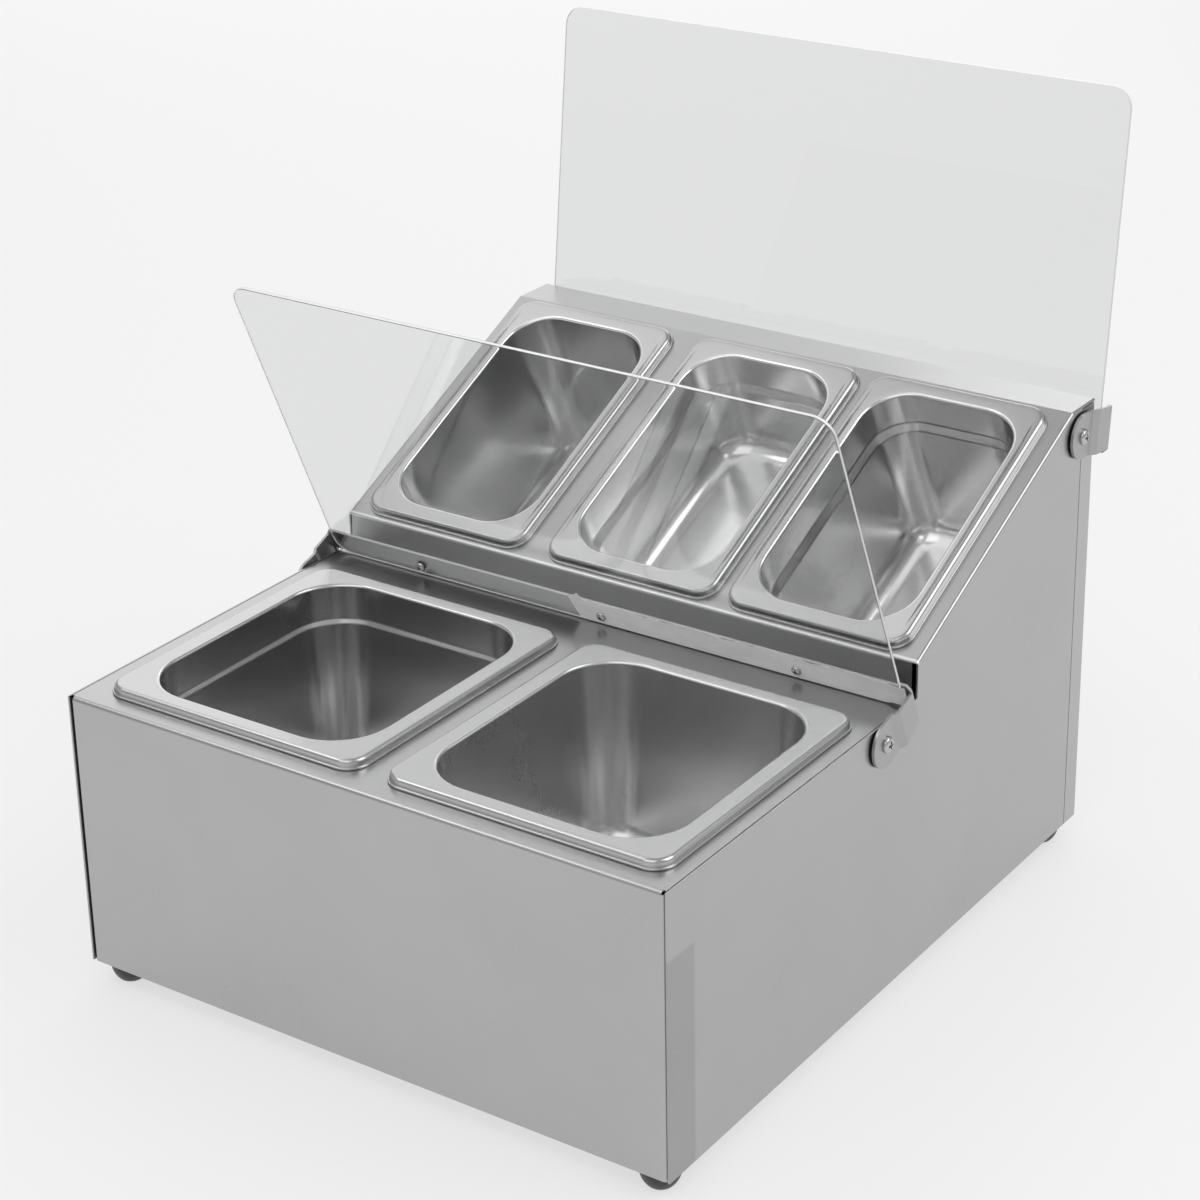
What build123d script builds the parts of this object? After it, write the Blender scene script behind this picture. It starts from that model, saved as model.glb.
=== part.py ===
"""Counter-top condiment holder: folded sheet steel housing, five lift-out pans and two hinged clear lids.

Millimetres, +Z up, -Y is the front. The origin is on the table below the middle of the whole object.
"""
import os
from math import atan2, cos, degrees, radians, sin, tan

from build123d import *

os.makedirs("parts", exist_ok=True)

# Housing
width = 361.0
depth = 417.0
foot_height = 12.0
front_height = 153.5
riser_y = 226.5
riser_height = 19.7
slope_top_y = 391.0
top_height = 251.5
sheet = 1.0
seam = 0.5
bend = 1.6
front_bend = 2.4
front_return = 22.0
front_return_height = 118.0
rear_flange = 14.5
deck_overrun = 15.0
riser_slots = {"left": 0.8, "right": 2.5}
relief_notch = 1.7
base_lip = 14.0

# Pans in the standard one-sixth and one-ninth sizes
pan_sheet = 0.8
seat_gap = 0.1
rim_height = 5.0
rim_corner = 12.0
rim_draft = 10.0
rim_round = 2.2
lip_height = 1.1
lip_out = 0.6
mouth_round = 2.4
ledge_depth = 20.0
ledge_drop = 5.5
ledge_step = 2.2
neck_draft = 1.5
wall_draft = 5.5
floor_round = 12.0
cutout_clearance = 2.5
sixth_rim = (162.0, 176.0)
sixth_mouth = (137.5, 153.5)
sixth_corner = 30.0
ninth_rim = (108.0, 176.0)
ninth_mouth = (89.5, 153.0)
ninth_corner = 25.0
deep_pan = 100.0
shallow_pan = 65.0
front_pan_y = 99.5
front_pan_x = {"left": -86.4, "right": 89.8}
front_pan_ledge = {"left": True, "right": False}
rear_pan_run = 90.6
rear_pan_x = {"left": -118.5, "middle": 3.4, "right": 117.3}
rear_pan_depth = {"left": deep_pan, "middle": shallow_pan, "right": deep_pan}
rear_pan_ledge = {"left": False, "middle": True, "right": True}

# Lids and the bars that carry them
front_pivot = (192.0, 143.6)
rear_pivot = (399.0, 236.0)
front_lean = 23.0
rear_lean = -6.6
lid_width = 360.0
front_lid_length = 192.0
rear_lid_length = 195.0
lid_thickness = 2.0
lid_corner = 11.0
lid_edge_chamfer = 0.4
front_lid_offset = 24.0
rear_lid_offset = 25.0
bar_sheet = 1.5
bar_height = 15.0
bar_foot = 0.5
bar_bend = 1.2
front_ear_top = 10.8
rear_ear_top = 12.3
front_ear_bottom = -9.0
rear_ear_bottom = -12.0
ear_belly = (12.0, -13.0)
ear_chamfer = 2.8
ear_out = 5.0
lug_radius = 12.5
lug_gap = 1.0
jog_start = 9.5
jog_end = 13.5

# Fasteners
pivot_shank = 5.0
pivot_head = (8.6, 2.4)
pivot_nut = (8.0, 3.0)
pivot_play = 0.1
washer_diameter = 12.0
lid_screw = 3.0
lid_screw_head = (5.5, 1.8)
lid_screw_pitch = 119.5
lid_screw_line = 6.8
lid_screw_edge = 5.8
lid_nut = (5.5, 2.4)
foot_screw = 4.0
foot_screw_head = (7.0, 2.4)
foot_nut = (7.0, 3.2)
thread_end = 1.2
hole_clearance = 0.1
pick_gap = 0.01

# Feet
foot_diameter = 21.0
foot_flat = 13.0
foot_dome = 9.5
foot_recess = (8.0, 4.0)
foot_inset = 14.0
foot_front_y = 13.5
foot_rear_y = 401.0

# Worked-out sizes
rear_lid_outer = rear_lid_offset + lid_thickness
rear_lid_top = rear_lid_length - lid_screw_edge - lid_screw_line
rear_angle = radians(-rear_lean)
overall_depth = rear_pivot[0] + rear_lid_outer * cos(rear_angle) + rear_lid_top * sin(rear_angle)
front_face = -overall_depth / 2
slope_foot = front_height + riser_height
slope_angle = atan2(top_height - slope_foot, slope_top_y - riser_y)
inner_width = width - 2 * (sheet + seam)
rim_top = seat_gap + rim_height

# Side view: across is the distance behind the front face, up is the height above the housing's bottom edge
side_view = Plane((0, front_face, foot_height), x_dir=(0, 1, 0), z_dir=(1, 0, 0))
deck = Plane((0, front_face, foot_height + front_height))
slope = Plane(
    (0, front_face + riser_y, foot_height + slope_foot),
    x_dir=(1, 0, 0),
    z_dir=(0, -sin(slope_angle), cos(slope_angle)),
)


def save(builder, name):
    builder.part.label = name
    export_step(builder.part, f"parts/{name}.step")


def lid_frame(pivot, lean, across):
    """Plane on a pivot line, its normal out through the open lid; across tells which end is up."""
    return Plane(
        (0, front_face + pivot[0], foot_height + pivot[1]),
        x_dir=(across, 0, 0),
        z_dir=(0, cos(radians(lean)), sin(radians(lean))),
    )


# The bar of the rear lid is turned upside down
front_hinge = lid_frame(front_pivot, front_lean, -1)
rear_hinge = lid_frame(rear_pivot, rear_lean, 1)
screw_spots = [(x, lid_screw_line) for x in (-lid_screw_pitch, 0, lid_screw_pitch)]
foot_spots = {
    "front_left": (foot_inset - width / 2, foot_front_y),
    "front_right": (width / 2 - foot_inset, foot_front_y),
    "rear_left": (foot_inset - width / 2, foot_rear_y),
    "rear_right": (width / 2 - foot_inset, foot_rear_y),
}
pivot_planes = [
    Plane((side * width / 2, front_face + y, foot_height + z), z_dir=(side, 0, 0))
    for side in (-1, 1)
    for y, z in (front_pivot, rear_pivot)
]

# Body shell: slope, riser flap, top strip and both side walls folded from one sheet
with BuildPart() as body_shell:
    with BuildSketch(side_view):
        with BuildLine():
            Polyline(
                (0, 0),
                (depth, 0),
                (depth, top_height),
                (slope_top_y, top_height),
                (riser_y, slope_foot),
                (riser_y, front_height),
                (0, front_height),
                close=True,
            )
        make_face()
    extrude(amount=width / 2, both=True)
    top_faces = body_shell.faces().filter_by(lambda face: face.normal_at().Z > 0.5).sort_by(Axis.Z)[-2:]
    side_bends = top_faces.edges().filter_by(lambda edge: abs(edge.center().X) > width / 4)
    ridge = foot_height + slope_foot
    riser_bend = body_shell.edges().filter_by(Axis.X).filter_by_position(Axis.Z, ridge - sheet, ridge + sheet)
    fillet(side_bends + riser_bend, bend)

    # Hollow under the sheet, open at the front, back and bottom
    drop = sheet / cos(slope_angle)
    inner_corner = slope_foot + sheet * tan(slope_angle) - drop
    inner_ridge = riser_y + (top_height - sheet - slope_foot + drop) / tan(slope_angle)
    with BuildSketch(side_view):
        with BuildLine():
            Polyline(
                (-sheet, -sheet),
                (depth + sheet, -sheet),
                (depth + sheet, top_height - sheet),
                (inner_ridge, top_height - sheet),
                (riser_y + sheet, inner_corner),
                (riser_y + sheet, front_height + seam),
                (-sheet, front_height + seam),
                close=True,
            )
        make_face()
    extrude(amount=width / 2 - sheet, both=True, mode=Mode.SUBTRACT)

    # The side walls stop where the rear panel's flanges begin
    with BuildSketch(side_view):
        with Locations((depth - rear_flange - seam, -sheet)):
            Rectangle(rear_flange + 2 * seam, top_height, align=Align.MIN)
    extrude(amount=width, both=True, mode=Mode.SUBTRACT)

    # Open slots beside the riser flap
    with BuildSketch(deck.offset(-sheet)):
        with Locations((sheet - width / 2, riser_y)):
            Rectangle(riser_slots["left"], 3 * sheet, align=(Align.MIN, Align.CENTER))
        with Locations((width / 2 - sheet, riser_y)):
            Rectangle(riser_slots["right"], 3 * sheet, align=(Align.MAX, Align.CENTER))
    extrude(amount=riser_height, mode=Mode.SUBTRACT)

    # Openings for the rear pans
    with BuildSketch(slope):
        with Locations(*[(x, rear_pan_run) for x in rear_pan_x.values()]):
            RectangleRounded(
                ninth_mouth[0] + 2 * (pan_sheet + cutout_clearance),
                ninth_mouth[1] + 2 * (pan_sheet + cutout_clearance),
                ninth_corner + cutout_clearance,
            )
    extrude(amount=4 * sheet, both=True, mode=Mode.SUBTRACT)

    with BuildSketch(side_view):
        with Locations(front_pivot, rear_pivot):
            Circle((pivot_shank + hole_clearance) / 2)
    extrude(amount=width, both=True, mode=Mode.SUBTRACT)
save(body_shell, "body_shell")

# Front panel and lower deck folded from one sheet, set between the side walls
with BuildPart() as front_deck_panel:
    with BuildSketch(side_view):
        Rectangle(riser_y + deck_overrun, front_height, align=Align.MIN)
    extrude(amount=inner_width / 2, both=True)
    front = front_deck_panel.faces().sort_by(Axis.Y)[0]
    fillet(front.edges().sort_by(Axis.Z)[1:], front_bend)
    with BuildSketch(side_view):
        with Locations((sheet, -sheet)):
            Rectangle(riser_y + deck_overrun - 2 * sheet, front_height, align=Align.MIN)
    extrude(amount=inner_width / 2 - sheet, both=True, mode=Mode.SUBTRACT)
    # Only two upright returns stay at the sides, and a short flange hangs from the back of the deck
    with BuildSketch(side_view):
        with Locations((front_return, -sheet)):
            Rectangle(riser_y, front_height, align=Align.MIN)
        with Locations((front_bend, front_return_height)):
            Rectangle(riser_y, front_height - sheet - front_return_height, align=Align.MIN)
    extrude(amount=width, both=True, mode=Mode.SUBTRACT)
    with BuildSketch(deck.offset(-sheet)):
        with Locations((0, riser_y + deck_overrun - sheet / 2)):
            Rectangle(inner_width, sheet)
    extrude(amount=-deck_overrun)
    # Relief notches where three bends meet
    with BuildSketch(deck):
        with Locations((inner_width / 2, 0), (-inner_width / 2, 0)):
            Rectangle(2 * relief_notch, 2 * front_bend)
    extrude(amount=-relief_notch, mode=Mode.SUBTRACT)
    # Openings for the front pans
    with BuildSketch(deck):
        with Locations(*[(x, front_pan_y) for x in front_pan_x.values()]):
            RectangleRounded(
                sixth_mouth[0] + 2 * (pan_sheet + cutout_clearance),
                sixth_mouth[1] + 2 * (pan_sheet + cutout_clearance),
                sixth_corner + cutout_clearance,
            )
    extrude(amount=-2 * sheet, mode=Mode.SUBTRACT)
save(front_deck_panel, "front_deck_panel")

# Rear panel: a tray whose flanges run flush with the side walls and under the top strip
rear_panel_height = top_height - sheet - seam
with BuildPart() as rear_panel:
    with BuildSketch(side_view):
        with Locations((depth - rear_flange, 0)):
            Rectangle(rear_flange, rear_panel_height, align=Align.MIN)
    extrude(amount=width / 2, both=True)
    back = rear_panel.faces().sort_by(Axis.Y)[-1]
    fillet(back.edges().filter_by(Axis.Z), bend)
    with BuildSketch(side_view):
        with Locations((depth - rear_flange - sheet, -sheet)):
            Rectangle(rear_flange, rear_panel_height, align=Align.MIN)
    extrude(amount=width / 2 - sheet, both=True, mode=Mode.SUBTRACT)
save(rear_panel, "rear_panel")

# Base tray that closes the bottom and carries the feet
base_inset = 2 * (sheet + seam)
with BuildPart() as base_panel:
    with BuildSketch(Plane((0, front_face + depth / 2, foot_height))):
        Rectangle(width - 2 * base_inset, depth - 3 * sheet)
    extrude(amount=base_lip)
    offset(amount=-sheet, openings=base_panel.faces().sort_by(Axis.Z)[-1])
    with BuildSketch(Plane((0, front_face, foot_height))):
        with Locations(*foot_spots.values()):
            Circle((foot_screw + hole_clearance) / 2)
    extrude(amount=base_lip, mode=Mode.SUBTRACT)
save(base_panel, "base_panel")

# Domed feet, each recessed below for its screw head
for place, (foot_x, foot_y) in foot_spots.items():
    upright = Plane((foot_x, front_face + foot_y, 0), x_dir=(1, 0, 0), z_dir=(0, -1, 0))
    bore = (foot_screw + hole_clearance) / 2
    with BuildPart() as foot:
        with BuildSketch(upright):
            with BuildLine():
                dome = TangentArc((foot_diameter / 2, foot_dome), (foot_flat / 2, 0), tangent=(0, -1))
                Polyline(
                    dome @ 1,
                    (foot_recess[0] / 2, 0),
                    (foot_recess[0] / 2, foot_recess[1]),
                    (bore, foot_recess[1]),
                    (bore, foot_height),
                    (foot_diameter / 2, foot_height),
                    dome @ 0,
                )
            make_face()
        revolve(axis=Axis(upright.origin, (0, 0, 1)))
    save(foot, f"foot_{place}")

with BuildPart() as foot_screws:
    head_bottom = foot_recess[1] - foot_screw_head[1]
    with BuildSketch(Plane((0, front_face, head_bottom))):
        with Locations(*foot_spots.values()):
            Circle(foot_screw_head[0] / 2)
    extrude(amount=foot_screw_head[1])
    with BuildSketch(Plane((0, front_face, foot_recess[1]))):
        with Locations(*foot_spots.values()):
            Circle(foot_screw / 2)
    extrude(amount=foot_height + sheet + foot_nut[1] + thread_end - foot_recess[1])
save(foot_screws, "foot_screws")

with BuildPart() as foot_nuts:
    with BuildSketch(Plane((0, front_face, foot_height + sheet))):
        with Locations(*foot_spots.values()):
            RegularPolygon(foot_nut[0] / 2, 6, major_radius=False)
            Circle((foot_screw + hole_clearance) / 2, mode=Mode.SUBTRACT)
    extrude(amount=foot_nut[1])
save(foot_nuts, "foot_nuts")


def drawn_form(frame, mouth, corner, pan_depth, ledge, skin):
    """Well of a pan grown outwards by skin: an even taper, or an upright neck, stacking ledge and taper."""
    up = Axis(frame.origin, frame.z_dir)
    floor_depth = pan_depth - pan_sheet + skin
    ledge_end = ledge_depth + ledge_drop
    neck_in = ledge_depth * tan(radians(neck_draft))
    well_in = neck_in + ledge_step
    floor_in = well_in + (floor_depth - ledge_end) * tan(radians(wall_draft))
    if ledge:
        levels = [(0, 0), (neck_in, ledge_depth), (well_in, ledge_end), (floor_in, floor_depth)]
    else:
        levels = [(0, 0), (floor_in, floor_depth)]
    with BuildPart() as form:
        for (inset, start), (next_inset, end) in zip(levels, levels[1:]):
            with BuildSketch(frame.offset(rim_top - start)):
                RectangleRounded(*[side + 2 * (skin - inset) for side in mouth], corner + skin - inset)
            extrude(amount=start - end, taper=degrees(atan2(next_inset - inset, end - start)))
        floor_edges = form.faces().sort_by(up)[0].edges()
        if skin:
            chamfer(floor_edges, floor_round / 2)
        else:
            fillet(floor_edges, floor_round)
    return form


def drawn_pan(frame, rim, mouth, corner, pan_depth, ledge):
    """Deep-drawn pan whose turned-down rim rests on the sheet round its opening."""
    up = Axis(frame.origin, frame.z_dir)
    outside = drawn_form(frame, mouth, corner, pan_depth, ledge, pan_sheet)
    inside = drawn_form(frame, mouth, corner, pan_depth, ledge, 0)
    with BuildPart() as pan:
        with BuildSketch(frame.offset(seat_gap)):
            RectangleRounded(*rim, rim_corner)
        extrude(amount=lip_height)
        with BuildSketch(frame.offset(seat_gap)):
            RectangleRounded(*[side - 2 * lip_out for side in rim], rim_corner - lip_out)
        extrude(amount=rim_height, taper=rim_draft)
        with BuildSketch(frame.offset(seat_gap)):
            hollow = lip_out + pan_sheet
            RectangleRounded(*[side - 2 * hollow for side in rim], rim_corner - hollow)
        extrude(amount=rim_height - pan_sheet, taper=rim_draft, mode=Mode.SUBTRACT)
        add(outside.part)
        rim_skin = rim_top - pan_sheet
        underside = pan.faces().filter_by_position(up, rim_skin - pick_gap, rim_skin + pick_gap)
        chamfer(underside.sort_by(SortBy.AREA)[-1].inner_wires().edges(), mouth_round)
        add(inside.part, mode=Mode.SUBTRACT)
        fillet(pan.faces().sort_by(up)[-1].inner_wires().edges(), mouth_round)
        fillet(pan.faces().sort_by(up)[-1].outer_wire().edges(), rim_round)
    return pan


for place, pan_x in front_pan_x.items():
    seat = Plane(deck.from_local_coords((pan_x, front_pan_y, 0)), z_dir=deck.z_dir)
    pan = drawn_pan(seat, sixth_rim, sixth_mouth, sixth_corner, deep_pan, front_pan_ledge[place])
    save(pan, f"front_pan_{place}")

for place, pan_x in rear_pan_x.items():
    seat = Plane(slope.from_local_coords((pan_x, rear_pan_run, 0)), x_dir=slope.x_dir, z_dir=slope.z_dir)
    pan_depth = rear_pan_depth[place]
    pan = drawn_pan(seat, ninth_rim, ninth_mouth, ninth_corner, pan_depth, rear_pan_ledge[place])
    save(pan, f"rear_pan_{place}")


def clear_lid(hinge, lid_offset, length, run):
    """Clear plate with round corners; run is +1 where it rises towards the bar's edge, else -1."""
    with BuildPart() as lid:
        with BuildSketch(hinge.offset(lid_offset)):
            with Locations((0, lid_screw_line + run * (length / 2 - lid_screw_edge))):
                RectangleRounded(lid_width, length, lid_corner)
        extrude(amount=lid_thickness)
        chamfer(lid.faces().filter_by(Axis(hinge.origin, hinge.z_dir)).edges(), lid_edge_chamfer)
        with BuildSketch(hinge.offset(lid_offset)):
            with Locations(*screw_spots):
                Circle(lid_screw / 2 + hole_clearance)
        extrude(amount=lid_thickness, mode=Mode.SUBTRACT)
    return lid


def hinge_bar(hinge, lid_offset, ear_top, ear_bottom):
    """Sheet bar behind the lid's lower edge, with joggled ears that swing on the side pivots."""
    plan = Plane(hinge.origin, x_dir=hinge.x_dir, z_dir=-hinge.y_dir)
    ear_view = Plane(hinge.origin, x_dir=hinge.z_dir, z_dir=-hinge.x_dir)
    lid_outer = lid_offset + lid_thickness
    bar_outer = lid_outer + bar_sheet
    lug_inner = width / 2 + lug_gap
    lug_outer = lug_inner + bar_sheet
    ear_outer = width / 2 + ear_out
    ear_inner = ear_outer - bar_sheet
    jog_angle = atan2(ear_inner - lug_inner, jog_end - jog_start)
    mitre = bar_sheet * tan(jog_angle / 2)
    with BuildPart() as bar:
        with BuildSketch(plan):
            with BuildLine():
                Polyline(
                    (lug_inner, -lug_radius),
                    (lug_inner, jog_start),
                    (ear_inner, jog_end),
                    (ear_inner, bar_outer),
                    (ear_outer, bar_outer),
                    (ear_outer, jog_end - mitre),
                    (lug_outer, jog_start - mitre),
                    (lug_outer, -lug_radius),
                    close=True,
                )
            make_face()
        extrude(amount=bar_height, both=True)
        with BuildSketch(ear_view):
            with BuildLine():
                Polyline(
                    (0, lug_radius),
                    (jog_end, ear_top),
                    (bar_outer, ear_top),
                    (bar_outer, ear_bottom),
                    ear_belly,
                    (0, -lug_radius),
                    close=True,
                )
            make_face()
            Circle(lug_radius)
            Circle((pivot_shank + hole_clearance) / 2, mode=Mode.SUBTRACT)
        extrude(amount=width, both=True, mode=Mode.INTERSECT)
        mirror(about=Plane(hinge.origin, z_dir=hinge.x_dir))

        # Plate behind the lid, with a tab at each end that carries the ear past the deck
        with BuildSketch(hinge.offset(lid_outer)):
            with BuildLine():
                half = Polyline(
                    (0, bar_foot),
                    (lug_outer, bar_foot),
                    (lug_outer, ear_bottom),
                    (ear_outer, ear_bottom),
                    (ear_outer, ear_top),
                    (ear_outer - ear_chamfer, bar_height),
                    (0, bar_height),
                )
                mirror(half, about=Plane.YZ)
            make_face()
            with Locations(*screw_spots):
                Circle((lid_screw + hole_clearance) / 2, mode=Mode.SUBTRACT)
        extrude(amount=bar_sheet)
        folds = bar.edges().filter_by(Axis(hinge.origin, hinge.y_dir))
        folds = folds.group_by(Axis(hinge.origin, hinge.z_dir))[-1].sort_by(SortBy.LENGTH)[-2:]
        fillet(folds, bar_bend)
    return bar


def lid_screw_set(hinge, lid_offset):
    """Pan-head screws through the lid and its bar."""
    length = lid_thickness + bar_sheet + lid_nut[1] + thread_end
    with BuildPart() as screws:
        with BuildSketch(hinge.offset(lid_offset - lid_screw_head[1])):
            with Locations(*screw_spots):
                Circle(lid_screw_head[0] / 2)
        extrude(amount=lid_screw_head[1])
        heads = screws.faces().sort_by(Axis(hinge.origin, hinge.z_dir))[: len(screw_spots)]
        chamfer(heads.edges(), lid_screw_head[1] / 2)
        with BuildSketch(hinge.offset(lid_offset)):
            with Locations(*screw_spots):
                Circle(lid_screw / 2)
        extrude(amount=length)
    return screws


def lid_nut_set(hinge, lid_offset):
    """Nuts on the back of the bar."""
    with BuildPart() as nuts:
        with BuildSketch(hinge.offset(lid_offset + lid_thickness + bar_sheet)):
            with Locations(*screw_spots):
                RegularPolygon(lid_nut[0] / 2, 6, major_radius=False)
                Circle((lid_screw + hole_clearance) / 2, mode=Mode.SUBTRACT)
        extrude(amount=lid_nut[1])
    return nuts


lids = {
    "front": (front_hinge, front_lid_offset, front_lid_length, 1, front_ear_top, front_ear_bottom),
    "rear": (rear_hinge, rear_lid_offset, rear_lid_length, -1, rear_ear_top, rear_ear_bottom),
}
for end, (hinge, lid_offset, length, run, ear_top, ear_bottom) in lids.items():
    save(clear_lid(hinge, lid_offset, length, run), f"{end}_lid")
    save(hinge_bar(hinge, lid_offset, ear_top, ear_bottom), f"{end}_lid_bar")
    save(lid_screw_set(hinge, lid_offset), f"{end}_lid_screws")
    save(lid_nut_set(hinge, lid_offset), f"{end}_lid_nuts")

# Pivots through the side walls: domed screw outside, spacer washer under the lug, nut inside
lug_outer_face = lug_gap + bar_sheet + pivot_play
with BuildPart() as pivot_screws:
    for outward in pivot_planes:
        with BuildSketch(outward.offset(-sheet - pivot_nut[1] - thread_end)):
            Circle(pivot_shank / 2)
        extrude(amount=sheet + pivot_nut[1] + thread_end + lug_outer_face)
        with BuildSketch(outward.offset(lug_outer_face)):
            Circle(pivot_head[0] / 2)
        extrude(amount=pivot_head[1])
    crowns = pivot_screws.faces().sort_by(lambda face: abs(face.center().X))[-len(pivot_planes):]
    chamfer(crowns.edges(), pivot_head[1] / 2)
save(pivot_screws, "pivot_screws")

with BuildPart() as pivot_washers:
    for outward in pivot_planes:
        with BuildSketch(outward):
            Circle(washer_diameter / 2)
            Circle((pivot_shank + hole_clearance) / 2, mode=Mode.SUBTRACT)
        extrude(amount=lug_gap - pivot_play)
save(pivot_washers, "pivot_washers")

with BuildPart() as pivot_nuts:
    for outward in pivot_planes:
        with BuildSketch(outward.offset(-sheet)):
            RegularPolygon(pivot_nut[0] / 2, 6, major_radius=False)
            Circle((pivot_shank + hole_clearance) / 2, mode=Mode.SUBTRACT)
        extrude(amount=-pivot_nut[1])
save(pivot_nuts, "pivot_nuts")
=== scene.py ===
"""Looks of the counter-top condiment holder: satin sheet steel, drawn steel pans and clear lids.

Metres, in the frame of the CAD model: +X right, +Y back, +Z up, origin on the table.
"""
import math

import bmesh
import bpy
from mathutils import Matrix, Vector


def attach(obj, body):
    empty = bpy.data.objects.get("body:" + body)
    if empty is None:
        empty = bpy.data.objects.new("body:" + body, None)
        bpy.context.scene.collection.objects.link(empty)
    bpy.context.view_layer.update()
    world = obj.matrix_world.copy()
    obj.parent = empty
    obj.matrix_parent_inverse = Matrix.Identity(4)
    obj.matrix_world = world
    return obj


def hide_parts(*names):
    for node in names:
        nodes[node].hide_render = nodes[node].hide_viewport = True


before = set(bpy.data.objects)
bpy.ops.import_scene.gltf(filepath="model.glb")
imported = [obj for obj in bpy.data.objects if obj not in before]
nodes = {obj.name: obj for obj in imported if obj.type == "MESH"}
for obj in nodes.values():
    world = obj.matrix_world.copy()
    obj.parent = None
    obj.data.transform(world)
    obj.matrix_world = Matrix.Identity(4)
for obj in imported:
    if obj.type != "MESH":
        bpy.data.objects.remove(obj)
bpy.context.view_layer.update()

MM = 0.001

# Housing
WIDTH = 361.0 * MM
SHEET = 1.0 * MM
FRONT_FACE = -223.393 * MM
FOOT_HEIGHT = 12.0 * MM
DECK_HEIGHT = FOOT_HEIGHT + 153.5 * MM
SLOPE_FOOT = (FRONT_FACE + 226.5 * MM, DECK_HEIGHT + 19.7 * MM)
SLOPE_TOP = (FRONT_FACE + 391.0 * MM, FOOT_HEIGHT + 251.5 * MM)
SLOPE_ANGLE = math.atan2(SLOPE_TOP[1] - SLOPE_FOOT[1], SLOPE_TOP[0] - SLOPE_FOOT[0])
FRONT_RETURN = 22.0 * MM
FRONT_RETURN_TOP = FOOT_HEIGHT + 118.0 * MM
# Reach of the highlight painted along the bend at the foot of the slope
BEND_HIGHLIGHT_REACH = (1.1 * MM, 1.6 * MM)

# Pan sections
PAN_SHEET = 0.8 * MM
SEAT_GAP = 0.1 * MM
RIM_HEIGHT = 5.0 * MM
RIM_CORNER = 12.0 * MM
RIM_DRAFT = math.radians(10)
RIM_ROUND = 2.2 * MM
LIP_HEIGHT = 1.1 * MM
LIP_OUT = 0.6 * MM
LIP_ROUND = 0.45 * MM
FLAT_REACH = 5.5 * MM
MOUTH_ROUND = 1.8 * MM
LEDGE_DEPTH = 20.0 * MM
SOFT_LEDGE = {"step": 1.1 * MM, "drop": 2.6 * MM, "round": 4.0 * MM}
CRISP_LEDGE = {"step": 2.2 * MM, "drop": 5.5 * MM, "round": 5.0 * MM}
NECK_DRAFT = math.radians(1.5)
WALL_DRAFT = math.radians(5.5)
FLOOR_ROUND = 12.0 * MM
FLOOR_REACH = 22.0 * MM
RIM_TOE_ROUND = 0.1 * MM
RIM_HOLLOW_ROUND = 0.8 * MM
SIXTH = {"rim": (162 * MM, 176 * MM), "mouth": (137.5 * MM, 153.5 * MM), "corner": 30 * MM}
NINTH = {"rim": (108 * MM, 176 * MM), "mouth": (89.5 * MM, 153.0 * MM), "corner": 25 * MM}
DEEP = 100 * MM
SHALLOW = 65 * MM

# Where the pans sit: across, depth, and the stacking ledge, where the wall has one
FRONT_PAN_Y = FRONT_FACE + 99.5 * MM
FRONT_PANS = {"left": (-86.4 * MM, DEEP, SOFT_LEDGE), "right": (89.8 * MM, DEEP, None)}
REAR_PAN_RUN = 90.6 * MM
REAR_PANS = {
    "left": (-118.5 * MM, DEEP, None),
    "middle": (3.4 * MM, SHALLOW, CRISP_LEDGE),
    "right": (117.3 * MM, DEEP, CRISP_LEDGE),
}

# Lids: pivot line, lean of the open lid, side that is up, offset of the inner face, plate's length and way
FRONT_PIVOT = (FRONT_FACE + 192.0 * MM, FOOT_HEIGHT + 143.6 * MM)
REAR_PIVOT = (FRONT_FACE + 399.0 * MM, FOOT_HEIGHT + 236.0 * MM)
LIDS = {
    "front": (FRONT_PIVOT, math.radians(23.0), -1, 24.0 * MM, 192.0 * MM, 1),
    "rear": (REAR_PIVOT, math.radians(-6.6), 1, 25.0 * MM, 195.0 * MM, -1),
}
LID_WIDTH = 360.0 * MM
LID_THICKNESS = 2.0 * MM
LID_CORNER = 11.0 * MM
LID_EDGE_ROUND = 0.25 * MM
# Width of the band on the lid's inner face; along the hinge side it is painted whitish as a painted
# highlight line
LID_HIGHLIGHT_BAND_WIDTH = 1.3 * MM
LID_SCREW_LINE = 6.8 * MM
LID_SCREW_EDGE = 5.8 * MM
LID_SCREW_PITCH = 119.5 * MM
LID_SCREW = {"head": (5.5 * MM, 1.8 * MM), "shank": (3.0 * MM, 7.1 * MM)}
PIVOT_SCREW = {"head": (8.6 * MM, 2.4 * MM), "shank": (5.0 * MM, 7.8 * MM)}
PIVOT_HEAD_GAP = 2.6 * MM
SCREW_POINTS = 48
DOME_SHARES = (0.97, 0.9, 0.8, 0.68, 0.56)

# Torn rest of the protective film on the front lid's lower edge, in millimetres on its inner face
FILM_TIP = ((-14.5, 2.4), (-19.0, 15.4), (-12.1, 20.4), (-10.2, 17.0), (-6.2, 15.8))
FILM_RUN = (-4.0, 183.2)
FILM_TOP = 16.3
FILM_LOW = 2.4
FILM_RAG = 0.7
FILM_STEPS = 90
FILM_CORNER = 3.0
FILM_SHEET = 0.1 * MM

# Lamps: direction, distance, size and radiance
SOFTBOXES = {
    "key_right": ((0.67, 0.25, 0.69), 2.0, 1.4, 1.7),
    "top_left": ((-0.52, 0.08, 0.85), 2.0, 1.0, 0.6),
    "backdrop_left": ((-0.55, 0.75, 0.37), 2.2, 2.0, 0.62),
    "backdrop_right": ((-0.22, 0.86, 0.46), 2.0, 0.6, 0.95),
    "bend_line": ((-0.52, -0.4, 0.75), 2.0, 0.6, 2.0),
    "front": ((0.08, -0.7, 0.7), 2.0, 1.7, 0.7),
}
ROOM_LIGHT = 0.5
FLOOR_TONE = 0.3
FLOOR_GLOW = 0.62
FLOOR_SIZE = 30.0

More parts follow.
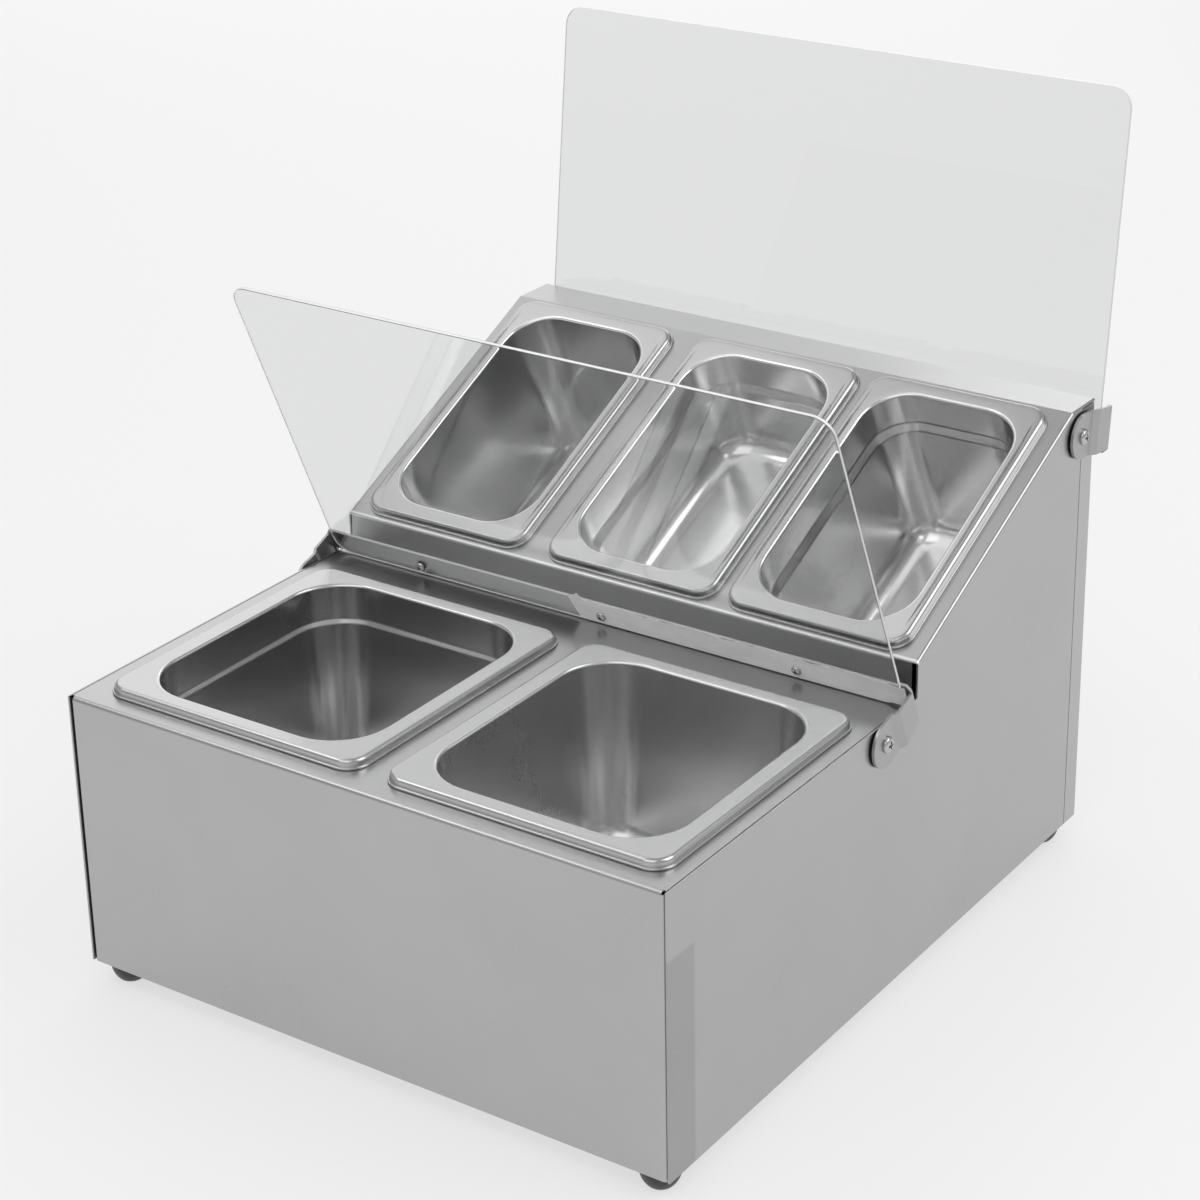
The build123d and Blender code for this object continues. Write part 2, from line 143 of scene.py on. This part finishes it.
# Camera fitted to the photo: azimuth, elevation and roll in degrees, lens in millimetres, shift, place
CAMERA_ANGLES = (34.428, 22.697, -0.875)
CAMERA_LENS = 89.6915
CAMERA_SHIFT = (-0.02437, -0.0923)
CAMERA_PLACE = (0.816380, FRONT_FACE - 0.952011, 0.837612)

ARC_STEPS = 10
ROUND_STEPS = 5
SHARP_ANGLE = math.radians(32)


# Materials

def new_material(name):
    material = bpy.data.materials.new(name)
    material.use_nodes = True
    tree = material.node_tree
    return material, tree, tree.nodes["Principled BSDF"]


def node(tree, kind, **inputs):
    made = tree.nodes.new(kind)
    for key, value in inputs.items():
        made.inputs[key].default_value = value
    return made


def noise(tree, stretch, scale, detail=3.0):
    """Noise in the object's own metres, drawn out along the axes whose stretch is small."""
    place = node(tree, "ShaderNodeTexCoord")
    mapping = node(tree, "ShaderNodeMapping", Scale=stretch)
    texture = node(tree, "ShaderNodeTexNoise", Scale=scale, Detail=detail, Roughness=0.6)
    tree.links.new(place.outputs["Object"], mapping.inputs["Vector"])
    tree.links.new(mapping.outputs["Vector"], texture.inputs["Vector"])
    return texture.outputs["Fac"]


def ranged(tree, value, low, high, start=0.0, end=1.0):
    """Value brought from start..end to low..high, and held there outside."""
    spread = node(tree, "ShaderNodeMapRange")
    for key, number in (("From Min", start), ("From Max", end), ("To Min", low), ("To Max", high)):
        spread.inputs[key].default_value = number
    tree.links.new(value, spread.inputs["Value"])
    return spread.outputs["Result"]


def math_node(tree, operation, first, second):
    made = node(tree, "ShaderNodeMath")
    made.operation = operation
    for socket, value in zip(made.inputs, (first, second)):
        if isinstance(value, float):
            socket.default_value = value
        else:
            tree.links.new(value, socket)
    return made.outputs["Value"]


def grey_between(tree, value, dark, light, start=0.3, end=0.7):
    ramp = node(tree, "ShaderNodeValToRGB")
    ramp.color_ramp.elements[0].color = (dark, dark, dark, 1)
    ramp.color_ramp.elements[1].color = (light, light, light * 1.005, 1)
    ramp.color_ramp.elements[0].position = start
    ramp.color_ramp.elements[1].position = end
    tree.links.new(value, ramp.inputs["Fac"])
    return ramp.outputs["Color"]


def scaled_colour(tree, colour, factor):
    made = node(tree, "ShaderNodeVectorMath")
    made.operation = "SCALE"
    tree.links.new(colour, made.inputs["Vector"])
    tree.links.new(factor, made.inputs["Scale"])
    return made.outputs["Vector"]


def satin_steel(name, tone, roughness, grain, relief, shade=None):
    """Rolled and brushed steel: fine grain, broad faint smudges, and a roughness that follows both.

    shade, where given, makes a factor on the tone.
    """
    material, tree, shader = new_material(name)
    shader.inputs["Metallic"].default_value = 1.0
    fine = noise(tree, grain, 1500.0)
    smudge = noise(tree, (1, 1, 1), 11.0, 4.0)
    both = math_node(tree, "ADD", ranged(tree, fine, 0.0, 0.12), ranged(tree, smudge, 0.06, 0.94))
    colour = grey_between(tree, both, tone * 0.94, tone * 1.06, 0.15, 0.85)
    if shade:
        colour = scaled_colour(tree, colour, shade(tree))
    tree.links.new(colour, shader.inputs["Base Color"])
    rough = ranged(tree, both, roughness - 0.04, roughness + 0.04, 0.15, 0.85)
    tree.links.new(rough, shader.inputs["Roughness"])
    bump = node(tree, "ShaderNodeBump", Strength=relief, Distance=0.0001)
    tree.links.new(fine, bump.inputs["Height"])
    tree.links.new(bump.outputs["Normal"], shader.inputs["Normal"])
    return material


def object_place(tree):
    place = node(tree, "ShaderNodeTexCoord")
    split = node(tree, "ShaderNodeSeparateXYZ")
    tree.links.new(place.outputs["Object"], split.inputs["Vector"])
    return split.outputs


def side_wall_shade(tree):
    """Darker band on the side walls, over the front panel's return and below its top."""
    x, y, z = object_place(tree)
    aside = math_node(tree, "ABSOLUTE", x, 0.0)
    outside = ranged(tree, aside, 0, 1, WIDTH / 2 - SHEET, WIDTH / 2 - SHEET / 2)
    near_front = ranged(tree, y, 1, 0, FRONT_FACE + FRONT_RETURN - SHEET, FRONT_FACE + FRONT_RETURN + SHEET)
    below = ranged(tree, z, 1, 0, FRONT_RETURN_TOP - SHEET, FRONT_RETURN_TOP + SHEET)
    band = math_node(tree, "MULTIPLY", math_node(tree, "MULTIPLY", outside, near_front), below)
    return ranged(tree, band, 1.0, 0.84)


def shell_shade(tree):
    """The side walls' darker band, and a painted highlight along the bend at the foot of the slope."""
    _, y, z = object_place(tree)
    near = []
    for place, middle in zip((y, z), SLOPE_FOOT):
        away = math_node(tree, "ABSOLUTE", math_node(tree, "SUBTRACT", place, middle), 0.0)
        near.append(ranged(tree, away, 1, 0, *BEND_HIGHLIGHT_REACH))
    # Painted highlight: the steel's tone is raised along the bend at the foot of the slope.
    bend = ranged(tree, math_node(tree, "MULTIPLY", *near), 1.0, 1.7)
    return math_node(tree, "MULTIPLY", side_wall_shade(tree), bend)


def clear_acrylic():
    material, tree, shader = new_material("clear_acrylic")
    shader.inputs["Base Color"].default_value = (0.82, 0.825, 0.825, 1)
    shader.inputs["Transmission Weight"].default_value = 1.0
    shader.inputs["IOR"].default_value = 1.49
    tree.links.new(ranged(tree, noise(tree, (1, 1, 1), 20.0), 0.0, 0.03), shader.inputs["Roughness"])
    return material


def make_edge_and_highlight_acrylic():
    """Cut edge of the clear sheet: whitish, with fine saw lines. Also the painted highlight band on the
    lids' inner face along the hinge side.
    """
    material, tree, shader = new_material("edge_and_highlight_acrylic")
    lines = noise(tree, (1, 1, 1), 600.0)
    tree.links.new(grey_between(tree, lines, 0.88, 0.97), shader.inputs["Base Color"])
    tree.links.new(ranged(tree, lines, 0.2, 0.4), shader.inputs["Roughness"])
    bump = node(tree, "ShaderNodeBump", Strength=0.1, Distance=0.0001)
    tree.links.new(lines, bump.inputs["Height"])
    tree.links.new(bump.outputs["Normal"], shader.inputs["Normal"])
    return material


def torn_film():
    """Thin whitish plastic film, a little creased."""
    material, tree, shader = new_material("torn_film")
    crease = noise(tree, (0.4, 1, 1), 120.0, 5.0)
    tree.links.new(grey_between(tree, crease, 0.82, 0.95), shader.inputs["Base Color"])
    tree.links.new(ranged(tree, crease, 0.3, 0.45), shader.inputs["Roughness"])
    bump = node(tree, "ShaderNodeBump", Strength=0.2, Distance=0.0003)
    tree.links.new(crease, bump.inputs["Height"])
    tree.links.new(bump.outputs["Normal"], shader.inputs["Normal"])
    return material


def moulded(name, dark, light, roughness, grain_scale):
    """Rubber or nylon with a fine moulded grain."""
    material, tree, shader = new_material(name)
    grain = noise(tree, (1, 1, 1), grain_scale)
    tree.links.new(grey_between(tree, grain, dark, light), shader.inputs["Base Color"])
    tree.links.new(ranged(tree, grain, roughness - 0.08, roughness + 0.08), shader.inputs["Roughness"])
    bump = node(tree, "ShaderNodeBump", Strength=0.15, Distance=0.0002)
    tree.links.new(grain, bump.inputs["Height"])
    tree.links.new(bump.outputs["Normal"], shader.inputs["Normal"])
    return material


# Shapes

def rounded_path(corners):
    """Points of a section whose corners, given as (across, up, radius), are rounded off."""
    points = []
    for i, (across, up, radius) in enumerate(corners):
        here = Vector((across, up))
        if radius == 0 or i in (0, len(corners) - 1):
            points.append(here)
            continue
        before = (Vector(corners[i - 1][:2]) - here).normalized()
        after = (Vector(corners[i + 1][:2]) - here).normalized()
        half = before.angle(after) / 2
        reach = radius / math.tan(half)
        centre = here + (before + after).normalized() * (radius / math.sin(half))
        first = here + before * reach - centre
        last = here + after * reach - centre
        turn = first.angle_signed(last)
        for k in range(ROUND_STEPS + 1):
            angle = -turn * k / ROUND_STEPS
            points.append(centre + Matrix.Rotation(angle, 2) @ first)
    return points


def rounded_loop(size, corner, inset, height):
    """A rectangle with round corners, drawn in by inset."""
    half = (size[0] / 2 - inset, size[1] / 2 - inset)
    radius = max(corner - inset, 0.2 * MM)
    points = []
    for quarter, (sx, sy) in enumerate(((1, 1), (-1, 1), (-1, -1), (1, -1))):
        centre = (sx * (half[0] - radius), sy * (half[1] - radius))
        for k in range(ARC_STEPS + 1):
            angle = math.pi / 2 * (quarter + k / ARC_STEPS)
            reach = (radius * math.cos(angle), radius * math.sin(angle))
            points.append((centre[0] + reach[0], centre[1] + reach[1], height))
    return points


def skinned(name, stacks, materials, second=()):
    """Object of closed skins, each through a stack of loops placed by a matrix.

    The bands whose numbers are in second, or faces as (band, place in the band), take the second material.
    """
    mesh = bmesh.new()
    for loops, seat in stacks:
        rings = [[mesh.verts.new(seat @ Vector(point)) for point in loop] for loop in loops]
        for band, (ring, following) in enumerate(zip(rings, rings[1:])):
            for k in range(len(ring)):
                other = (k + 1) % len(ring)
                face = mesh.faces.new((ring[k], ring[other], following[other], following[k]))
                face.material_index = int(band in second or (band, k) in second)
        mesh.faces.new(list(reversed(rings[0])))
        mesh.faces.new(rings[-1])
    bmesh.ops.recalc_face_normals(mesh, faces=mesh.faces)
    data = bpy.data.meshes.new(name)
    mesh.to_mesh(data)
    mesh.free()
    for material in materials:
        data.materials.append(material)
    data.polygons.foreach_set("use_smooth", [True] * len(data.polygons))
    data.set_sharp_from_angle(angle=SHARP_ANGLE)
    piece = bpy.data.objects.new(name, data)
    bpy.context.scene.collection.objects.link(piece)
    weights = piece.modifiers.new("face_weights", "WEIGHTED_NORMAL")
    weights.keep_sharp = True
    weights.weight = 100
    return piece


def dress(piece, body, replaced):
    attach(piece, body)
    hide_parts(replaced)


def wall_bends(depth, ledge):
    """Inset, depth below the rim and round of each bend of a pan's inner wall, from the floor up."""
    step = ledge or CRISP_LEDGE
    floor_depth = depth - PAN_SHEET
    ledge_end = LEDGE_DEPTH + step["drop"]
    neck_in = LEDGE_DEPTH * math.tan(NECK_DRAFT)
    well_in = neck_in + step["step"]
    floor_in = well_in + (floor_depth - ledge_end) * math.tan(WALL_DRAFT)
    bends = [(floor_in, floor_depth, FLOOR_ROUND)]
    if ledge:
        bends += [(well_in, ledge_end, ledge["round"]), (neck_in, LEDGE_DEPTH, ledge["round"])]
    return bends


def pan_section(depth, ledge):
    """Section of a drawn pan in three runs: inside to the rim's flat, round the rim, and outer skin."""
    top = SEAT_GAP + RIM_HEIGHT
    under = top - PAN_SHEET
    bends = wall_bends(depth, ledge)
    floor_edge = bends[0][0] + FLOOR_REACH
    floor = top - bends[0][1]
    inner = [(inset, top - down, radius) for inset, down, radius in bends]
    outer = [(inset - PAN_SHEET, up, radius) for inset, up, radius in inner]
    outer[0] = (outer[0][0], floor - PAN_SHEET, FLOOR_ROUND)
    inside = rounded_path([(floor_edge, floor, 0), *inner, (0, top, MOUTH_ROUND), (-FLAT_REACH, top, 0)])
    outside = rounded_path([
        (-FLAT_REACH, under, 0),
        (-PAN_SHEET, under, MOUTH_ROUND + PAN_SHEET),
        *reversed(outer),
        (floor_edge, floor - PAN_SHEET, 0),
    ])
    side_in = LIP_OUT + RIM_HEIGHT * math.tan(RIM_DRAFT)
    lip_top = SEAT_GAP + LIP_HEIGHT
    hollow = LIP_OUT + PAN_SHEET
    rim = rounded_path([
        (FLAT_REACH, top, 0),
        (side_in, top, RIM_ROUND),
        (LIP_OUT + LIP_HEIGHT * math.tan(RIM_DRAFT), lip_top, LIP_ROUND / 3),
        (0, lip_top, LIP_ROUND),
        (0, SEAT_GAP, LIP_ROUND),
        (hollow, SEAT_GAP, RIM_TOE_ROUND),
        (hollow + side_in - LIP_OUT, under, RIM_HOLLOW_ROUND),
        (FLAT_REACH, under, 0),
    ])
    return inside, rim, outside


def drawn_pan(name, sizes, depth, ledge, seat, finish):
    inside, rim, outside = pan_section(depth, ledge)
    loops = [rounded_loop(sizes["mouth"], sizes["corner"], p.x, p.y) for p in inside]
    loops += [rounded_loop(sizes["rim"], RIM_CORNER, p.x, p.y) for p in rim]
    loops += [rounded_loop(sizes["mouth"], sizes["corner"], p.x, p.y) for p in outside]
    rim_bands = range(len(inside) - 2, len(inside) + len(rim) - 1)
    piece = skinned(name + "_drawn", [(loops, seat)], [finish, rims_shaded_steel], rim_bands)
    dress(piece, name + "_body", name)


def lid_seat(pivot, lean, across):
    """Frame on a pivot line, its Z out through the open lid."""
    outward = Vector((0, math.cos(lean), math.sin(lean)))
    along = Vector((across, 0, 0))
    turned = Matrix((along, outward.cross(along), outward)).transposed().to_4x4()
    return Matrix.Translation((0, *pivot)) @ turned


def clear_lid(end, seat, offset, length, run):
    """Clear plate with whitish cut edges and fine arrises, and a whitish band on the inner face along the
    hinge side as a painted highlight line.
    """
    section = rounded_path([
        (LID_HIGHLIGHT_BAND_WIDTH, offset, 0),
        (0, offset, LID_EDGE_ROUND),
        (0, offset + LID_THICKNESS, LID_EDGE_ROUND),
        (2 * LID_EDGE_ROUND, offset + LID_THICKNESS, 0),
    ])
    middle = Matrix.Translation((0, LID_SCREW_LINE + run * (length / 2 - LID_SCREW_EDGE), 0))
    loops = [rounded_loop((LID_WIDTH, length), LID_CORNER, p.x, p.y) for p in section]
    corner_points = ARC_STEPS + 1
    start = 2 * corner_points if run > 0 else 0
    # Painted highlight: a whitish band on the inner face along the hinge side, in the cut edge's material.
    painted_highlight_band = [(0, k) for k in range(start, start + 2 * corner_points - 1)]
    edge_and_highlight_bands = [len(loops) // 2 - 1, *painted_highlight_band]
    plate = skinned(end + "_lid_plate", [(loops, seat @ middle)], [acrylic, edge_and_highlight_acrylic], edge_and_highlight_bands)
    plate.visible_shadow = False
    dress(plate, end + "_lid_set", end + "_lid")


def ragged(x):
    """Height of the film's torn top edge at x, in millimetres."""
    slow = math.sin(0.13 * x) + 0.6 * math.sin(0.37 * x + 1)
    fine = 0.4 * math.sin(1.9 * x) * math.sin(0.05 * x)
    return FILM_TOP + FILM_RAG * (slow + fine)


def film_rest(seat, offset):
    """Film left under the screws: a torn tip, a ragged top edge and a rounded corner by the ear."""
    left, right = FILM_RUN
    outline = list(FILM_TIP)
    for k in range(FILM_STEPS + 1):
        x = left + (right - left) * k / FILM_STEPS
        outline.append((x, ragged(x)))
    for k in range(ARC_STEPS + 1):
        angle = math.pi / 2 * k / ARC_STEPS
        across, down = FILM_CORNER * math.cos(angle), FILM_CORNER * math.sin(angle)
        outline.append((right - FILM_CORNER + across, FILM_LOW + FILM_CORNER - down))
    levels = (offset - FILM_SHEET, offset)
    loops = [[(-x * MM, y * MM, level) for x, y in outline] for level in levels]
    film = skinned("front_lid_film", [(loops, seat)], [film_plastic])
    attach(film, "front_lid_set")


def cross_outline(arm, half_width, angle):
    """Distance from the middle to the edge of a cross, in the direction of angle."""
    across, up = abs(math.cos(angle)), abs(math.sin(angle))
    small = 1e-6
    lying = min(arm / max(across, small), half_width / max(up, small))
    standing = min(arm / max(up, small), half_width / max(across, small))
    return max(lying, standing)


def screw_loops(head, shank):
    """Pan-head screw with a cross recess: shank down, dome up from the seat of its head."""
    radius, height = head[0] / 2, head[1]
    arm, half_width, recess = 0.52 * radius, 0.15 * radius, 0.55 * height
    rim = 0.3 * height
    angles = [2 * math.pi * k / SCREW_POINTS for k in range(SCREW_POINTS)]

    def dome(distance):
        return rim + (height - rim) * math.sqrt(max(0.0, 1 - (distance / radius) ** 2.6))

    rings = [(shank[0] / 2, -shank[1]), (shank[0] / 2, 0.0), (radius, 0.0), (radius, rim)]
    for share in DOME_SHARES:
        rings.append((share * radius, dome(share * radius)))
    loops = [[(r * math.cos(a), r * math.sin(a), z) for a in angles] for r, z in rings]
    for share, bottom in ((1.0, None), (0.8, height - recess)):
        reach = [share * cross_outline(arm, half_width, a) for a in angles]
        levels = [dome(r) if bottom is None else bottom for r in reach]
        loops.append([(r * math.cos(a), r * math.sin(a), z) for r, z, a in zip(reach, levels, angles)])
    return loops


def screw_group(name, seats, sizes, body, replaced):
    loops = screw_loops(sizes["head"], sizes["shank"])
    piece = skinned(name, [(loops, seat) for seat in seats], [polished])
    dress(piece, body, replaced)


def lid_screw_seats(seat, offset):
    facing_in = Matrix.Rotation(math.pi, 4, "X")
    spots = [(x, LID_SCREW_LINE, offset) for x in (-LID_SCREW_PITCH, 0, LID_SCREW_PITCH)]
    return [seat @ Matrix.Translation(spot) @ facing_in for spot in spots]


def pivot_seats():
    seats = []
    for side in (-1, 1):
        outward = Matrix.Rotation(side * math.pi / 2, 4, "Y")
        for pivot in (FRONT_PIVOT, REAR_PIVOT):
            seats.append(Matrix.Translation((side * (WIDTH / 2 + PIVOT_HEAD_GAP), *pivot)) @ outward)
    return seats


def paint(material, *names):
    for name in names:
        slots = nodes[name].data.materials
        if len(slots) == 0:
            slots.append(material)
        for i in range(len(slots)):
            slots[i] = material


# Finishes
panel_steel = satin_steel("panel_steel", 0.47, 0.28, (0.05, 1, 1), 0.003)
shell_steel = satin_steel("shell_steel", 0.45, 0.28, (0.05, 1, 1), 0.002, shell_shade)
# One pan steel in lit and shaded copies: the wells are painted lighter as painted light, the rear pans
# lightest, and the rims darker as painted shade.
rear_pans_lit_steel = satin_steel("rear_pans_lit_pan_steel", 0.73, 0.21, (0.4, 0.4, 0.4), 0.001)
front_right_lit_steel = satin_steel("front_right_lit_pan_steel", 0.66, 0.26, (0.4, 0.4, 0.4), 0.001)
front_left_lit_steel = satin_steel("front_left_lit_pan_steel", 0.6, 0.21, (0.4, 0.4, 0.4), 0.001)
rims_shaded_steel = satin_steel("rims_shaded_steel", 0.52, 0.22, (0.4, 0.4, 0.4), 0.002)
bar_steel = satin_steel("bar_steel", 0.42, 0.36, (0.2, 1, 1), 0.003)
polished = satin_steel("fastener_steel", 0.5, 0.18, (1, 1, 1), 0.005)
acrylic = clear_acrylic()
edge_and_highlight_acrylic = make_edge_and_highlight_acrylic()
film_plastic = torn_film()
rubber = moulded("foot_rubber", 0.05, 0.09, 0.42, 700.0)
nylon = moulded("washer_nylon", 0.015, 0.03, 0.5, 900.0)

paint(shell_steel, "body_shell")
paint(panel_steel, "front_deck_panel", "rear_panel", "base_panel")
paint(bar_steel, "front_lid_bar", "rear_lid_bar")
paint(polished, "foot_screws", "foot_nuts", "pivot_nuts", "front_lid_nuts", "rear_lid_nuts")
paint(rubber, "foot_front_left", "foot_front_right", "foot_rear_left", "foot_rear_right")
paint(nylon, "pivot_washers")

# Pieces
for place, (x, depth, ledge) in FRONT_PANS.items():
    seat = Matrix.Translation((x, FRONT_PAN_Y, DECK_HEIGHT))
    drawn_pan("front_pan_" + place, SIXTH, depth, ledge, seat, front_left_lit_steel if ledge else front_right_lit_steel)
tilt = Matrix.Rotation(SLOPE_ANGLE, 4, "X")
for place, (x, depth, ledge) in REAR_PANS.items():
    seat = Matrix.Translation((x, *SLOPE_FOOT)) @ tilt @ Matrix.Translation((0, REAR_PAN_RUN, 0))
    drawn_pan("rear_pan_" + place, NINTH, depth, ledge, seat, rear_pans_lit_steel)
for end, (pivot, lean, across, offset, length, run) in LIDS.items():
    seat = lid_seat(pivot, lean, across)
    clear_lid(end, seat, offset, length, run)
    seats = lid_screw_seats(seat, offset)
    screw_group(end + "_lid_domes", seats, LID_SCREW, end + "_lid_set", end + "_lid_screws")
    if end == "front":
        film_rest(seat, offset)
screw_group("pivot_domes", pivot_seats(), PIVOT_SCREW, "housing", "pivot_screws")


# Stage, light and camera

def floor_plane(tone, glow, size):
    """Plain pale floor. Its glow is the same to the camera, in the steel and through the lids."""
    data = bpy.data.meshes.new("floor")
    corners = [(-size, -size, 0), (size, -size, 0), (size, size, 0), (-size, size, 0)]
    data.from_pydata(corners, [], [(0, 1, 2, 3)])
    plane = bpy.data.objects.new("floor", data)
    bpy.context.scene.collection.objects.link(plane)
    material, tree, shader = new_material("pale_floor")
    shader.inputs["Base Color"].default_value = (tone, tone, tone, 1)
    shader.inputs["Roughness"].default_value = 0.9
    shader.inputs["Specular IOR Level"].default_value = 0.0
    shader.inputs["Emission Color"].default_value = (1, 1, 1, 1)
    path = node(tree, "ShaderNodeLightPath")
    shown = math_node(tree, "MAXIMUM", path.outputs["Is Camera Ray"], path.outputs["Is Transmission Ray"])
    shown = math_node(tree, "MAXIMUM", shown, path.outputs["Is Glossy Ray"])
    tree.links.new(ranged(tree, shown, 0.0, glow), shader.inputs["Emission Strength"])
    data.materials.append(material)


def studio_world(strength):
    """Even room light, the same to every ray."""
    world = bpy.data.worlds.new("studio")
    bpy.context.scene.world = world
    world.use_nodes = True
    background = world.node_tree.nodes["Background"]
    background.inputs["Color"].default_value = (1, 1, 1, 1)
    background.inputs["Strength"].default_value = strength


def softbox(name, direction, distance, size, radiance):
    """Square lamp that faces the object from a direction; its radiance adds to the room's."""
    data = bpy.data.lights.new(name, "AREA")
    data.shape = "SQUARE"
    data.size = size
    data.energy = 4 * radiance * size * size
    lamp = bpy.data.objects.new(name, data)
    towards = Vector(direction).normalized()
    lamp.location = Vector((0, 0, DECK_HEIGHT)) + towards * distance
    lamp.rotation_euler = towards.to_track_quat("Z", "Y").to_euler()
    bpy.context.scene.collection.objects.link(lamp)


def photo_camera():
    azimuth, elevation, roll = (math.radians(angle) for angle in CAMERA_ANGLES)
    back = Vector((
        math.sin(azimuth) * math.cos(elevation),
        -math.cos(azimuth) * math.cos(elevation),
        math.sin(elevation),
    ))
    right = Vector((0, 0, 1)).cross(back).normalized()
    up = back.cross(right)
    across = right * math.cos(roll) + up * math.sin(roll)
    upward = up * math.cos(roll) - right * math.sin(roll)
    data = bpy.data.cameras.new("photo_camera")
    data.sensor_width = 36.0
    data.lens = CAMERA_LENS
    data.shift_x, data.shift_y = CAMERA_SHIFT
    camera = bpy.data.objects.new("photo_camera", data)
    camera.matrix_world = Matrix((
        (across.x, upward.x, back.x, CAMERA_PLACE[0]),
        (across.y, upward.y, back.y, CAMERA_PLACE[1]),
        (across.z, upward.z, back.z, CAMERA_PLACE[2]),
        (0, 0, 0, 1),
    ))
    bpy.context.scene.collection.objects.link(camera)
    bpy.context.scene.camera = camera


floor_plane(FLOOR_TONE, FLOOR_GLOW, FLOOR_SIZE)
studio_world(ROOM_LIGHT)
for name, lamp in SOFTBOXES.items():
    softbox(name, *lamp)
photo_camera()
bpy.context.scene.view_settings.view_transform = "Standard"
